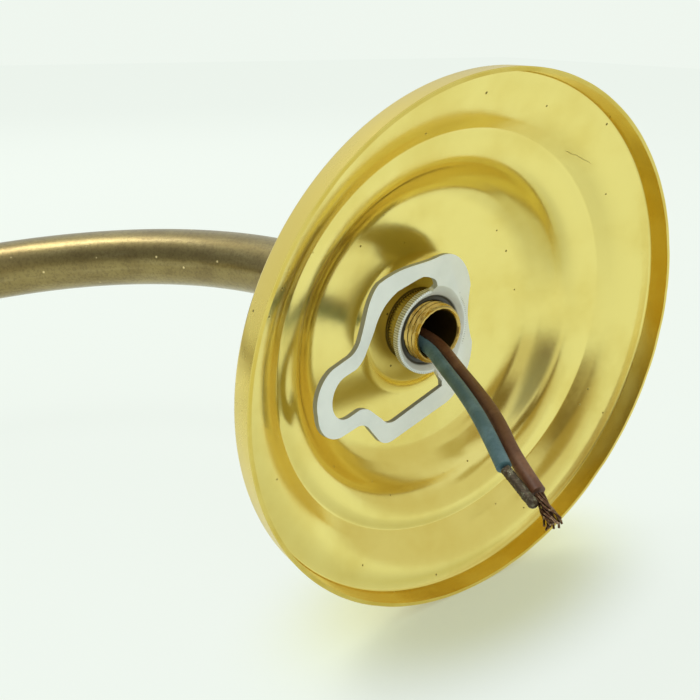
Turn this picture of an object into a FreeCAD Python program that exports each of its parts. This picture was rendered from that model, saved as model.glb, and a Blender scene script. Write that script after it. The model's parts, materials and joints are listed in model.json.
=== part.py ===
import FreeCAD, Part
import math
import os

# Wall lamp: a spun brass canopy with a keyhole hanger plate inside, a curved brass tube arm,
# and a lampholder with a turn switch on a tilting knuckle at the arm's upper end.
# Millimetres. The origin is the centre of the canopy's rim, in the plane of the wall.
# +Y points into the wall, +Z up the wall, and the lamp stands out towards -Y.

# Canopy, pressed and spun from thin brass sheet
canopy_radius = 41.0
canopy_sheet = 0.6
canopy_wall = 3.5
rim_bend = 0.4
flange_width = 5.6
flange_drop = 2.4
step_width = 2.5
step_drop = 2.35
shelf_width = 2.9
shelf_drop = 0.75
shoulder_width = 4.0
shoulder_drop = 3.5
canopy_depth = 18.4
dish_bow = 1.2
boss_radius = 9.8
boss_slope = 1.2
boss_height = 0.7
hole_clearance = 0.15

# Threaded nipples, M10 x 1
nipple_radius = 5.0
nipple_wall = 1.0
nipple_chamfer = 0.3
mouth_chamfer = 0.45
thread_pitch = 1.0
thread_depth = 0.35
thread_clearance = 0.03
wall_nipple_reach = 5.94
wall_nipple_grip = 11.0
grooved_turns = 5

# Ring nut that clamps the canopy, with a knurled edge
nut_wall = 0.95
nut_height = 2.45
nut_chamfer = 0.25
nut_knurls = 72
knurl_depth = 0.1

# Hanger plate, stamped from steel sheet with a keyhole opening and a dished, tapped eye
plate_sheet = 0.8
plate_half_width = 12.9
plate_shoulder = 13.5
plate_tip = 29.1
plate_end = 9.3
plate_strip = 3.6
neck_half_width = 5.6
neck_strip = 2.3
tip_strip = 3.0
plate_tilt = 15.1
plate_rise = 2.8
eye_floor = 0.55
eye_width = 1.15
eye_slope = 45.0
eye_lip = 0.45
eye_edge = 1.15
turn_clearance = 0.05

# Collar between the canopy and the arm
collar_wall = 2.85
collar_height = 3.0
collar_round = 0.8

# Arm, a bent tube tapped at both ends
tube_wall = 1.5
tap_depth = 0.5
tapped_length = 12.0
wall_straight = 17.5
bend_radius = 71.0
top_straight = 25.0

# Knuckle: two alike halves side by side, clamped by a thumb screw
stem_step = 0.5
stem_length = 20.0
stem_thread = 9.0
nipple_engagement = 8.0
cheek_overhang = 2.0
cheek_step = 0.4
cheek_gap = 0.1
fold_clearance = 0.3
screw_radius = 2.0
screw_end = 1.0
running_clearance = 0.06
passage_hub = 1.2
passage_width = 2.6
passage_depth = 3.4
passage_run = 1.0
washer_width = 2.2
washer_height = 0.8
thumb_radius = 6.0
thumb_height = 5.0
thumb_knurls = 24

# Lampholder: brass cap and shell, insulating lining and socket, small screw cap size
cap_collar_wall = 2.6
cap_collar_height = 5.0
cap_height = 16.0
cap_wall = 0.8
cap_skirt = 6.0
shell_radius = 14.0
shell_wall = 0.6
shell_height = 40.0
shell_lap = 5.0
seat_width = 2.5
seat_height = 1.0
seat_level = 22.0
liner_wall = 0.7
liner_foot = 1.0
fit_gap = 0.1
socket_foot = 2.0
socket_height = 35.0
socket_floor = 16.0
lamp_radius = 7.0
lamp_shell_wall = 0.5
lamp_shell_height = 14.0
well_depth = 4.0
well_gap = 0.3
cavity_gap = 0.5
contact_sheet = 0.4
contact_width = 4.0
contact_rise = 3.0
contact_reach = 2.4
side_contact_level = 1.5
terminal_place = 7.5
terminal_wall = 1.65
terminal_depth = 4.0
terminal_radius = 1.5
terminal_head = 2.3
terminal_height = 1.6
slot_width = 0.6
slot_depth = 0.6
set_screw_radius = 1.5
ring_width = 5.5
ring_height = 4.0
ring_wall = 1.0
ring_hub = 1.6
ring_notches = 8
notch_radius = 1.4
shade_turns = 6
shade_pitch = 1.5
shade_thread_depth = 0.3

# Turn switch
switch_level = 7.0
switch_shaft = 1.5
shaft_reach = 7.0
shaft_hole_gap = 0.5
rotor_radius = 3.4
rotor_length = 6.0
rotor_flat = 2.7
chamber_gap = 1.0
key_gap = 1.2
key_hub = 2.9
key_lap = 1.5
key_length = 14.0
key_height = 7.0
key_thickness = 3.2

# Flexible cores: one blue and one brown, led through the arm
core_radius = 1.0
core_knuckle_gap = 9.4
core_rise = 1.4
conductor_radius = 0.7
strand_radius = 0.2
strand_count = 7
strand_spread = 0.48
strand_splay = 0.85
bare_gap = 0.3

# Routes of the free ends that stand out of the nipple towards the wall, chosen by hand
blue_route = [(1.5, -18.0, 1.85), (1.5, -13.2, 1.85), (1.8, -6.0, 4.65), (1.25, 3.2, 8.55),
              (1.2, 11.3, 12.45), (2.57, 17.53, 15.44)]
brown_route = [(1.6, -18.0, -0.35), (1.6, -13.4, -0.35), (2.1, -5.8, 2.55), (1.9, 3.2, 6.1),
               (1.95, 10.4, 9.3), (2.75, 16.4, 12.7), (4.45, 22.04, 14.25)]
blue_tip = (4.6, 22.9, 16.1)
brown_tip = (6.4, 26.1, 15.8)

# Places worked out from the sizes above
boss_level = -canopy_depth
dish_bottom = boss_level - boss_height
nut_level = boss_level + nut_height
nipple_bore = nipple_radius - nipple_wall
nut_radius = nipple_radius + nut_wall
eye_bore = nipple_radius + turn_clearance
eye_foot = eye_bore + eye_floor
eye_outer = eye_foot + eye_width + eye_lip
eye_drop = plate_sheet / math.cos(math.radians(eye_slope))
eye_low = nut_level + turn_clearance
eye_level = eye_low + plate_sheet
plate_level = eye_level + plate_rise
mouth_level = boss_level + wall_nipple_reach
collar_bore = nipple_radius + hole_clearance
collar_radius = collar_bore + collar_wall
collar_back = boss_level - canopy_sheet
tube_bore = nipple_radius - tap_depth
tube_radius = tube_bore + tube_wall
tube_start = collar_back - collar_height
bend_start = tube_start - wall_straight
head_y = bend_start - bend_radius
arm_top = bend_radius + top_straight
stem_radius = tube_radius + stem_step
cheek_radius = stem_radius + cheek_overhang
cheek_face = stem_radius + cheek_step
pivot_z = arm_top + stem_length
head_base = pivot_z + stem_length
passage_inner = screw_radius + passage_hub
screw_hole = screw_radius + running_clearance
thumb_seat = -cheek_face - washer_height - turn_clearance
cap_collar_radius = nipple_radius + cap_collar_wall
cap_inside = shell_radius + fit_gap
cap_top = head_base + cap_height
shell_base = cap_top - shell_lap
shell_top = shell_base + shell_height
seat_z = shell_base + seat_level
ring_radius = shell_radius + ring_width
liner_outer = shell_radius - shell_wall - fit_gap
socket_outer = liner_outer - liner_wall - fit_gap
socket_base = shell_base + socket_foot
socket_top = socket_base + socket_height
cavity_base = socket_base + socket_floor
lamp_outer = lamp_radius + lamp_shell_wall
lamp_shell_z = cavity_base + well_depth
cavity_radius = lamp_outer + cavity_gap
terminal_side = cavity_radius + terminal_wall
strip_level = socket_base - contact_sheet / 2
terminal_head_z = socket_base - contact_sheet
switch_z = socket_base + switch_level
chamber_half = rotor_radius + chamber_gap
shaft_end = head_y - shell_radius - shaft_reach
blue_place = (blue_route[0][0], blue_route[0][2])
brown_place = (brown_route[0][0], brown_route[0][2])
core_start = blue_route[0][1]


def vec(x, y, z):
    return FreeCAD.Vector(x, y, z)


X_AXIS = vec(1, 0, 0)
Y_AXIS = vec(0, 1, 0)
Z_AXIS = vec(0, 0, 1)


def cylinder(radius, start, end):
    """A round bar between two points."""
    way = end - start
    return Part.makeCylinder(radius, way.Length, start, way)


def tube(outer, inner, start, end):
    """A round bar with a bore right through."""
    return cylinder(outer, start, end).cut(cylinder(inner, start, end))


def box(low, high):
    size = high - low
    return Part.makeBox(size.x, size.y, size.z, low)


def outline(steps, place):
    """A closed face. Each step is a corner (a, b), or an arc's middle and end (a, b, c, d)."""
    here = place(*steps[0])
    first = here
    edges = []
    for step in steps[1:]:
        there = place(*step[-2:])
        if len(step) == 4:
            edges.append(Part.Arc(here, place(*step[:2]), there).toShape())
        else:
            edges.append(Part.LineSegment(here, there).toShape())
        here = there
    if here.distanceToPoint(first) > 1e-6:
        edges.append(Part.LineSegment(here, first).toShape())
    return Part.Face(Part.Wire(edges))


def turned(steps, axis, centre):
    """A turned piece: steps give the radius and the place along the axis."""
    if axis == Y_AXIS:
        face = outline(steps, lambda r, y: centre + vec(r, y, 0))
    else:
        face = outline(steps, lambda r, z: centre + vec(r, 0, z))
    return face.revolve(centre, axis, 360)


def thread_grooves(radius, depth, pitch, turns, centre, axis):
    """Rings that show a screw thread: V grooves from centre along the axis."""
    rings = []
    half = 0.42 * pitch
    for turn in range(turns):
        middle = (turn + 0.75) * pitch
        steps = [(radius + 0.1, middle - half), (radius - depth, middle), (radius + 0.1, middle + half)]
        rings.append(turned(steps, axis, centre))
    return Part.makeCompound(rings)


def knurl_cutters(radius, depth, count, start, length, axis):
    """V grooves along a round edge, evenly spaced round the axis."""
    half = 0.35 * 2 * math.pi * radius / count
    corners = [(-half, radius + 0.1), (0, radius - depth), (half, radius + 0.1)]
    across = Y_AXIS if axis == X_AXIS else X_AXIS
    groove = outline(corners, lambda a, b: start + across * a + Z_AXIS * b).extrude(axis * length)
    cutters = []
    for index in range(count):
        cutters.append(groove.copy().rotate(start, axis, 360.0 * index / count))
    return Part.makeCompound(cutters)


def cord_path(points, name):
    """Straight runs joined by tangent arcs, each as large as its two runs allow."""
    corners = [vec(*point) for point in points]
    edges = []
    radii = []
    here = corners[0]
    for index in range(1, len(corners) - 1):
        back = corners[index - 1] - corners[index]
        ahead = corners[index + 1] - corners[index]
        half_turn = (math.pi - back.getAngle(ahead)) / 2
        trim = 0.45 * min(back.Length, ahead.Length)
        radii.append(trim / math.tan(half_turn))
        back.normalize()
        ahead.normalize()
        enter = corners[index] + back * trim
        leave = corners[index] + ahead * trim
        inward = (back + ahead).normalize()
        sag = radii[-1] / math.cos(half_turn) - radii[-1]
        edges.append(Part.LineSegment(here, enter).toShape())
        edges.append(Part.Arc(enter, corners[index] + inward * sag, leave).toShape())
        here = leave
    edges.append(Part.LineSegment(here, corners[-1]).toShape())
    wire = Part.Wire(edges)
    print(name, "length %.1f" % wire.Length, "smallest bend %.1f" % min(radii))
    return wire


def cord(points, radius, name):
    """A round cord along a hand-chosen route."""
    wire = cord_path(points, name)
    start = vec(*points[0])
    way = vec(*points[1]) - start
    circle = Part.Wire([Part.Circle(start, way, radius).toShape()])
    solid = wire.makePipeShell([circle], True, False)
    if solid.Volume < 0:
        solid.reverse()
    print(name, "volume / section x length %.4f" % (solid.Volume / (math.pi * radius ** 2 * wire.Length)))
    return solid


def bent_bar(radius, x, inward, start_y, end_z):
    """A round bar that follows the arm at an offset: out from the wall, round the bend, then up."""
    reach = bend_radius - inward
    centre = vec(x, bend_start, bend_radius)
    flat = cylinder(radius, vec(x, start_y, inward), vec(x, bend_start, inward))
    section = Part.Face(Part.Wire([Part.Circle(vec(x, bend_start, inward), Y_AXIS, radius).toShape()]))
    bend = section.revolve(centre, X_AXIS, -90)
    upright = cylinder(radius, vec(x, bend_start - reach, bend_radius), vec(x, bend_start - reach, end_z))
    return flat.fuse([bend, upright]).removeSplitter()


def make_canopy():
    """Spun shell: rim wall, curved flange, step, shelf, shoulder, dish and a raised boss at the hole."""
    inner = canopy_radius - canopy_sheet
    bend_r = inner - rim_bend
    step_r = bend_r - flange_width + rim_bend
    shelf_r = step_r - step_width
    shoulder_r = shelf_r - shelf_width
    dish_r = shoulder_r - shoulder_width
    foot_r = boss_radius + boss_slope
    flange_y = -canopy_wall
    step_y = flange_y - flange_drop
    shelf_y = step_y - step_drop
    shoulder_y = shelf_y - shelf_drop
    dish_y = shoulder_y - shoulder_drop

    def profile(shift):
        return [
            (nipple_radius + hole_clearance, boss_level - shift),
            (boss_radius, boss_level - shift),
            (foot_r, dish_bottom - shift),
            ((foot_r + dish_r) / 2, (dish_bottom + dish_y) / 2 - dish_bow - shift, dish_r, dish_y - shift),
            (dish_r + 0.6 * shoulder_width, dish_y + 0.65 * shoulder_drop - shift,
             shoulder_r, shoulder_y - shift),
            (shoulder_r + shelf_width / 2, shoulder_y + 0.6 * shelf_drop - shift, shelf_r, shelf_y - shift),
            (step_r, step_y - shift),
            (step_r + flange_width / 2, step_y + 0.63 * flange_drop - shift, bend_r, flange_y - shift),
        ]

    rear = profile(0)
    front = profile(canopy_sheet)
    bend = canopy_sheet + rim_bend
    wall_y = flange_y - canopy_sheet + bend
    outside = [(inner, flange_y + rim_bend), (inner, 0), (canopy_radius, 0), (canopy_radius, wall_y)]
    outside.append((canopy_radius - 0.3 * bend, wall_y - 0.7 * bend, bend_r, flange_y - canopy_sheet))
    back = []
    for index in range(len(front) - 1, 0, -1):
        back.append(front[index][:-2] + front[index - 1][-2:])
    return turned(rear + outside + back, Y_AXIS, vec(0, 0, 0))


def make_wall_nipple():
    """Threaded tube that holds the canopy to the arm and carries the hanger plate."""
    end = tube_start - wall_nipple_grip
    steps = [
        (nipple_bore, mouth_level - nipple_chamfer), (nipple_bore + nipple_chamfer, mouth_level),
        (nipple_radius - mouth_chamfer, mouth_level), (nipple_radius, mouth_level - mouth_chamfer),
        (nipple_radius, end), (nipple_bore, end),
    ]
    body = turned(steps, Y_AXIS, vec(0, 0, 0))
    start = vec(0, mouth_level - mouth_chamfer - grooved_turns * thread_pitch, 0)
    return body.cut(thread_grooves(nipple_radius, thread_depth, thread_pitch, grooved_turns, start, Y_AXIS))


def make_lock_nut():
    """Round nut with a knurled edge, screwed down on the canopy's boss."""
    bore = nipple_radius + thread_clearance
    steps = [
        (bore, boss_level), (nut_radius, boss_level), (nut_radius, nut_level - nut_chamfer),
        (nut_radius - nut_chamfer, nut_level), (bore, nut_level),
    ]
    seat = vec(0, boss_level, 0)
    knurl = knurl_cutters(nut_radius, knurl_depth, nut_knurls, seat, nut_height, Y_AXIS)
    return turned(steps, Y_AXIS, vec(0, 0, 0)).cut(knurl)


def plate_outline(place):
    """Right half of the hanger plate's outer edge, and right half of its keyhole opening."""
    half = plate_half_width
    low = plate_end
    edge = plate_shoulder
    tip = plate_tip
    neck = neck_half_width
    outer = [
        (0, 1.1 - low), (2.8, 0.7 - low, 5.2, -low), (half - 2.4, 2.5 - low, half, 0), (half - 0.6, edge),
        (half - 1.1, edge + 2.0, half - 2.3, edge + 3.4), (neck + 2.0, edge + 5.3),
        (neck + 0.7, edge + 6.4, neck + 0.1, edge + 8.0), (neck - 0.1, tip - 4.1),
        (neck - 1.7, tip - 1.2, 0, tip),
    ]
    wide = half - plate_strip
    slot = neck - neck_strip
    round_z = tip - tip_strip - slot
    corner = slot * math.sqrt(0.5)
    opening = [
        (0, 0), (wide, 0), (wide - 0.1, edge - 1.0), (wide - 0.7, edge + 1.1, wide - 1.9, edge + 2.3),
        (slot + 1.6, edge + 4.5), (slot + 0.6, edge + 5.6, slot, edge + 7.1), (slot, round_z),
        (corner, round_z + corner, 0, round_z + slot),
    ]
    return outline(outer, place), outline(opening, place)


def make_hanger_plate():
    """Keyhole frame, tilted towards the wall, with a dished eye that turns on the nipple's thread."""
    outer_half, opening_half = plate_outline(lambda w, s: vec(w, 0, s))
    far = 2 * plate_tip
    origin = vec(0, 0, 0)
    hole_half = opening_half.extrude(vec(0, -far, 0)).translate(vec(0, far / 2, 0))
    slab_half = outer_half.extrude(vec(0, -plate_sheet, 0)).cut(hole_half)
    blank_half = outer_half.extrude(vec(0, -far, 0)).translate(vec(0, far / 2, 0))
    slab = slab_half.fuse(slab_half.mirror(origin, X_AXIS))
    blank = blank_half.fuse(blank_half.mirror(origin, X_AXIS))
    in_front = box(vec(-far, -far, -far), vec(far, 0, far))
    for solid in (slab, blank, in_front):
        solid.translate(vec(0, plate_level, 0))
        solid.rotate(vec(0, plate_level, 0), X_AXIS, -plate_tilt)

    slope = math.tan(math.radians(eye_slope))
    wide = plate_half_width
    top = eye_level + (wide - eye_foot) * slope
    under_foot = eye_foot + (eye_drop - plate_sheet) / slope
    cone_steps = [
        (eye_bore, eye_level), (eye_foot, eye_level), (wide, top), (wide, top - eye_drop),
        (under_foot, eye_low), (eye_bore, eye_low),
    ]
    cone = turned(cone_steps, Y_AXIS, origin)
    air_steps = [
        (0, eye_low - 1), (eye_bore, eye_low - 1), (eye_bore, eye_level), (eye_foot, eye_level),
        (wide, top), (wide, far), (0, far),
    ]
    air = turned(air_steps, Y_AXIS, origin)
    lower_half = box(vec(-far, -far, -far), vec(far, far, 0))
    root = cone.common(lower_half).common(in_front).common(blank)
    rim_level = eye_level + eye_width * slope
    ring_steps = [
        (eye_bore, eye_level), (eye_foot, eye_level), (eye_foot + eye_width, rim_level),
        (eye_outer, rim_level), (eye_outer, rim_level - eye_edge), (under_foot, eye_low), (eye_bore, eye_low),
    ]
    ring = turned(ring_steps, Y_AXIS, origin)
    return slab.cut(air).fuse([root, ring]).removeSplitter()


def make_collar():
    """Turned disc that covers the joint between canopy and arm."""
    edge = collar_round
    steps = [
        (collar_bore, collar_back), (collar_radius, collar_back), (collar_radius, tube_start + edge),
        (collar_radius - 0.3 * edge, tube_start + 0.3 * edge, collar_radius - edge, tube_start),
        (collar_bore, tube_start),
    ]
    return turned(steps, Y_AXIS, vec(0, 0, 0))


def make_arm():
    """Bent tube, bored right through and tapped at both ends for the nipples."""
    outside = bent_bar(tube_radius, 0, 0, tube_start, arm_top)
    inside = bent_bar(tube_bore, 0, 0, tube_start, arm_top)
    thread = nipple_radius + thread_clearance
    wall_end = cylinder(thread, vec(0, tube_start, 0), vec(0, tube_start - tapped_length, 0))
    top_end = cylinder(thread, vec(0, head_y, arm_top), vec(0, head_y, arm_top - tapped_length))
    return outside.cut(inside).cut(wall_end).cut(top_end)


def nipple_upright(low, high):
    """Threaded tube that stands upright on the lampholder's axis."""
    return tube(nipple_radius, nipple_bore, vec(0, head_y, low), vec(0, head_y, high))


def make_knuckle_half():
    """Stem with a tapped end and a round cheek on its -X side, pierced for the thumb screw."""
    pivot = vec(0, head_y, pivot_z)
    foot = vec(0, head_y, arm_top)
    far = 2 * cheek_radius
    stem = cylinder(stem_radius, foot, pivot)
    cheek = cylinder(cheek_radius, pivot - X_AXIS * cheek_face, pivot - X_AXIS * cheek_gap)
    sweep_radius = max(cheek_radius, math.sqrt(2) * stem_radius) + fold_clearance
    sweep = cylinder(sweep_radius, pivot - X_AXIS * cheek_gap, pivot + X_AXIS * far)
    thread = cylinder(nipple_radius + thread_clearance, foot, foot + Z_AXIS * stem_thread)
    channel = cylinder(nipple_bore, foot, pivot - Z_AXIS * (passage_inner + passage_run))
    passage = tube(passage_inner + passage_width, passage_inner, pivot - X_AXIS * passage_depth, pivot)
    hole = cylinder(screw_hole, pivot - X_AXIS * far, pivot + X_AXIS * far)
    return stem.fuse(cheek).cut(sweep).cut(thread).cut(channel).cut(passage).cut(hole).removeSplitter()


def make_thumb_screw():
    """Knurled head and plain shank on the knuckle's axis."""
    seat = vec(thumb_seat, head_y, pivot_z)
    head = cylinder(thumb_radius, seat, seat - X_AXIS * thumb_height)
    edges = knurl_cutters(thumb_radius, 2 * knurl_depth, thumb_knurls, seat, -thumb_height, X_AXIS)
    return head.cut(edges).fuse(cylinder(screw_radius, seat, vec(cheek_face - screw_end, head_y, pivot_z)))


def make_washer():
    """Plain washer under the thumb screw's head."""
    start = vec(-cheek_face, head_y, pivot_z)
    return tube(screw_hole + washer_width, screw_hole, start, start - X_AXIS * washer_height)


def make_holder_cap():
    """Spun dome with a tapped collar, open at the top where the shell pushes in."""
    bore = nipple_radius + thread_clearance
    wide = cap_inside + cap_wall
    neck_z = cap_collar_height
    skirt_z = cap_height - cap_skirt
    floor_z = neck_z + cap_wall + 0.2
    stop_z = cap_height - shell_lap
    stop = cap_inside - shell_wall
    middle = (neck_z + skirt_z) / 2
    steps = [
        (bore, 0), (cap_collar_radius, 0), (cap_collar_radius, neck_z),
        (wide - 1.8, middle - 1.0, wide, skirt_z), (wide, cap_height), (cap_inside, cap_height),
        (cap_inside, stop_z), (stop, stop_z), (stop - 1.8, middle + 0.4, cap_collar_radius, floor_z),
        (bore, floor_z),
    ]
    body = turned(steps, Z_AXIS, vec(0, head_y, head_base))
    start = vec(0, head_y, head_base + cap_collar_height / 2)
    end = start + Y_AXIS * 2 * cap_collar_radius
    return body.cut(cylinder(set_screw_radius + thread_clearance, start, end))


def make_set_screw():
    """Slotted set screw through the cap's collar, tight on the nipple."""
    start = vec(0, head_y + nipple_radius, head_base + cap_collar_height / 2)
    end = start + Y_AXIS * cap_collar_wall
    half = slot_width / 2
    slot = box(end - vec(set_screw_radius, slot_depth, half), end + vec(set_screw_radius, 1, half))
    return cylinder(set_screw_radius, start, end).cut(slot)


def shaft_hole():
    """Clear way for the switch shaft, out through the front of the shell and its lining."""
    start = vec(0, head_y, switch_z)
    return cylinder(switch_shaft + shaft_hole_gap, start, start - Y_AXIS * 2 * shell_radius)


def make_shell():
    """Brass tube with a seat flange for a shade, a thread above it and a turned-in lip."""
    inner = shell_radius - shell_wall
    lip = inner - liner_wall
    seat = shell_radius + seat_width
    steps = [
        (inner, 0), (shell_radius, 0), (shell_radius, seat_level - seat_height),
        (seat, seat_level - seat_height), (seat, seat_level), (shell_radius, seat_level),
        (shell_radius, shell_height), (lip, shell_height),
        (lip, shell_height - shell_wall), (inner, shell_height - shell_wall),
    ]
    body = turned(steps, Z_AXIS, vec(0, head_y, shell_base))
    start = vec(0, head_y, seat_z + ring_height + 1.0)
    grooves = thread_grooves(shell_radius, shade_thread_depth, shade_pitch, shade_turns, start, Z_AXIS)
    return body.cut(grooves).cut(shaft_hole())


def make_liner():
    """Insulating sleeve between the brass shell and the socket."""
    low = vec(0, head_y, shell_base + liner_foot)
    high = vec(0, head_y, shell_top - shell_wall - fit_gap)
    return tube(liner_outer, liner_outer - liner_wall, low, high).cut(shaft_hole())


def contact_slot(x_low, x_high, z_low, z_high):
    """Room in the socket for a contact strip, a little larger than the strip."""
    half = contact_width / 2 + fit_gap
    return box(vec(x_low, head_y - half, z_low), vec(x_high, head_y + half, z_high))


def make_socket():
    """Moulded socket: a deep round cavity above, the switch chamber and the terminals below."""
    body = cylinder(socket_outer, vec(0, head_y, socket_base), vec(0, head_y, socket_top))
    cavity = cylinder(cavity_radius, vec(0, head_y, lamp_shell_z), vec(0, head_y, socket_top))
    well = cylinder(lamp_radius + well_gap, vec(0, head_y, cavity_base), vec(0, head_y, lamp_shell_z))
    deep = rotor_length / 2 + chamber_gap
    chamber = box(vec(-chamber_half, head_y - deep, switch_z - chamber_half),
                  vec(chamber_half, head_y + deep, switch_z + chamber_half))
    side = terminal_side
    half = contact_sheet / 2 + fit_gap
    side_top = lamp_shell_z + side_contact_level
    front = vec(0, head_y - 2 * shell_radius, switch_z)
    cuts = [
        cavity, well, chamber,
        cylinder(switch_shaft + running_clearance, vec(0, head_y, switch_z), front),
        contact_slot(-side - half, -side + half, socket_base, switch_z + half),
        contact_slot(-side, -chamber_half, switch_z - half, switch_z + half),
        contact_slot(side - half, side + half, socket_base, side_top + half),
        contact_slot(lamp_outer, side, side_top - half, side_top + half),
        contact_slot(-half, half, switch_z + chamber_half, cavity_base),
    ]
    for x in (-terminal_place, terminal_place):
        foot = vec(x, head_y, socket_base)
        cuts.append(cylinder(terminal_radius + fit_gap, foot, foot + Z_AXIS * terminal_depth))
    return body.cut(cuts)


def make_lamp_shell():
    """Rolled brass shell that takes the lamp's screw cap, on a step in the socket's cavity."""
    low = vec(0, head_y, lamp_shell_z)
    return tube(lamp_outer, lamp_radius, low, low + Z_AXIS * lamp_shell_height)


def strip(points):
    """Bent contact strip: its middle line in the XZ plane, made as wide as the contacts."""
    pieces = []
    half = contact_sheet / 2
    for (x1, z1), (x2, z2) in zip(points, points[1:]):
        low = vec(min(x1, x2) - half, head_y - contact_width / 2, min(z1, z2) - half)
        high = vec(max(x1, x2) + half, head_y + contact_width / 2, max(z1, z2) + half)
        pieces.append(box(low, high))
    return pieces[0].fuse(pieces[1:]).removeSplitter()


def terminal_strip(side, points):
    """Contact strip whose foot lies under the socket, pierced for its terminal screw."""
    inner = side * (terminal_place - terminal_head)
    foot = [(inner, strip_level), (side * terminal_side, strip_level)]
    hole = cylinder(terminal_radius + fit_gap, vec(side * terminal_place, head_y, socket_base - 1),
                    vec(side * terminal_place, head_y, socket_base))
    return strip(foot + points).cut(hole)


def make_centre_contact():
    """Springy strip that rises from the switch to the middle of the lamp's cap."""
    foot = switch_z + rotor_radius + chamber_gap / 2
    base = cavity_base + contact_sheet
    top = base + contact_rise
    points = [(0, foot), (0, base), (contact_reach, base), (contact_reach, top), (-contact_reach / 2, top)]
    return strip(points)


def make_side_contact():
    """Strip from the right terminal up to the side of the lamp shell."""
    top = lamp_shell_z + side_contact_level
    return terminal_strip(1, [(terminal_side, top), (lamp_outer + contact_sheet / 2, top)])


def make_switch_blade():
    """Strip from the left terminal to the switch rotor."""
    return terminal_strip(-1, [(-terminal_side, switch_z), (-rotor_radius - chamber_gap / 2, switch_z)])


def make_terminal_screws():
    """Two slotted screws that clamp the cores under the contact strips."""
    screws = []
    half = slot_width / 2
    for x in (-terminal_place, terminal_place):
        seat = vec(x, head_y, terminal_head_z)
        low = seat - Z_AXIS * terminal_height
        head = cylinder(terminal_head, low, seat)
        shank = cylinder(terminal_radius, seat, seat + Z_AXIS * (terminal_depth - 0.5))
        slot = box(low - vec(terminal_head, half, 1), low + vec(terminal_head, half, slot_depth))
        screws.append(head.fuse(shank).cut(slot))
    return screws


def make_rotor():
    """Insulating cam on the switch shaft, flat on two sides."""
    start = vec(0, head_y - rotor_length / 2, switch_z)
    drum = tube(rotor_radius, switch_shaft, start, start + Y_AXIS * rotor_length)
    low = start - vec(rotor_radius, 0, rotor_flat)
    return drum.common(box(low, start + vec(rotor_radius, rotor_length, rotor_flat)))


def make_switch_shaft():
    """Round shaft from the rotor to the key."""
    return cylinder(switch_shaft, vec(0, head_y + rotor_length / 2, switch_z), vec(0, shaft_end, switch_z))


def make_switch_key():
    """Flat oval key with a round hub, pressed on the shaft's end."""
    back = head_y - shell_radius - key_gap
    hub = cylinder(key_hub, vec(0, back, switch_z), vec(0, shaft_end - key_lap, switch_z))
    half = key_length / 2
    tip = shaft_end - key_height
    low = switch_z - key_thickness / 2
    steps = [
        (-key_hub, key_height), (key_hub, key_height), (half - 0.6, 0.8 * key_height, half, 0.4 * key_height),
        (0.7 * half, 0.06 * key_height, 0, 0), (-0.7 * half, 0.06 * key_height, -half, 0.4 * key_height),
        (0.6 - half, 0.8 * key_height, -key_hub, key_height),
    ]
    blade = outline(steps, lambda a, b: vec(a, tip + b, low)).extrude(Z_AXIS * key_thickness)
    return hub.fuse(blade).cut(cylinder(switch_shaft, vec(0, back, switch_z), vec(0, shaft_end, switch_z)))


def make_shade_ring():
    """Ring that screws down on the shell to clamp a shade on the seat, with finger notches."""
    bore = shell_radius + running_clearance
    hub = shell_radius + ring_hub
    level = seat_z + turn_clearance
    steps = [
        (bore, 0), (ring_radius - ring_wall / 2, 0), (ring_radius, ring_wall / 2), (ring_radius, ring_wall),
        (hub, ring_wall), (hub, ring_height), (bore, ring_height),
    ]
    ring = turned(steps, Z_AXIS, vec(0, head_y, level))
    notches = []
    for index in range(ring_notches):
        angle = 2 * math.pi * index / ring_notches
        out = ring_radius + notch_radius / 2
        spot = vec(out * math.cos(angle), head_y + out * math.sin(angle), level - 1)
        notches.append(cylinder(notch_radius, spot, spot + Z_AXIS * (ring_wall + 2)))
    return ring.cut(notches)


def core_in_arm(place):
    """A core from inside the wall nipple through the arm to just below the knuckle's joint."""
    x, inward = place
    return bent_bar(core_radius, x, inward, core_start, pivot_z - core_knuckle_gap)


def core_in_head(place, side, name):
    """A core from the knuckle's upper stem to its terminal in the lampholder."""
    x, inward = place
    y = head_y + inward
    end_z = terminal_head_z - terminal_height - core_radius - bare_gap
    low_z = pivot_z + core_knuckle_gap
    bend_z = head_base + cap_collar_height + core_rise
    points = [(x, y, low_z), (x, y, bend_z)]
    points += [(side * terminal_place / 2, y, end_z - 0.4), (side * terminal_place, y, end_z)]
    return cord(points, core_radius, name)


def make_strands():
    """Bare copper strands that splay a little at the brown core's end."""
    end = vec(*brown_tip)
    way = (end - vec(*brown_route[-1])).normalize()
    start = vec(*brown_route[-1]) + way * bare_gap
    side = way.cross(Z_AXIS).normalize()
    up = side.cross(way)
    strands = [cylinder(strand_radius, start, end)]
    for index in range(strand_count - 1):
        angle = 2 * math.pi * index / (strand_count - 1)
        out = side * math.cos(angle) + up * math.sin(angle)
        strands.append(cylinder(strand_radius, start + out * strand_spread, end + out * strand_splay))
    return strands


def make_conductor():
    """Tinned end of the blue core, rounded at its tip."""
    end = vec(*blue_tip)
    way = (end - vec(*blue_route[-1])).normalize()
    bar = cylinder(conductor_radius, vec(*blue_route[-1]) + way * bare_gap, end)
    return bar.fuse(Part.makeSphere(conductor_radius, end)).removeSplitter()


def save(name, shape):
    """One STEP file per named piece."""
    if isinstance(shape, list):
        shape = Part.makeCompound(shape)
    if not shape.isValid() or shape.Volume <= 0 or not shape.Solids:
        print("CHECK", name, shape.isValid(), shape.Volume)
    if len(shape.Solids) == 1 and shape.ShapeType != "Solid":
        shape = shape.Solids[0]
    shape.exportStep(os.path.join("parts", name + ".step"))
    print("%-20s solids %d volume %.1f" % (name, len(shape.Solids), shape.Volume))


os.makedirs("parts", exist_ok=True)

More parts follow.
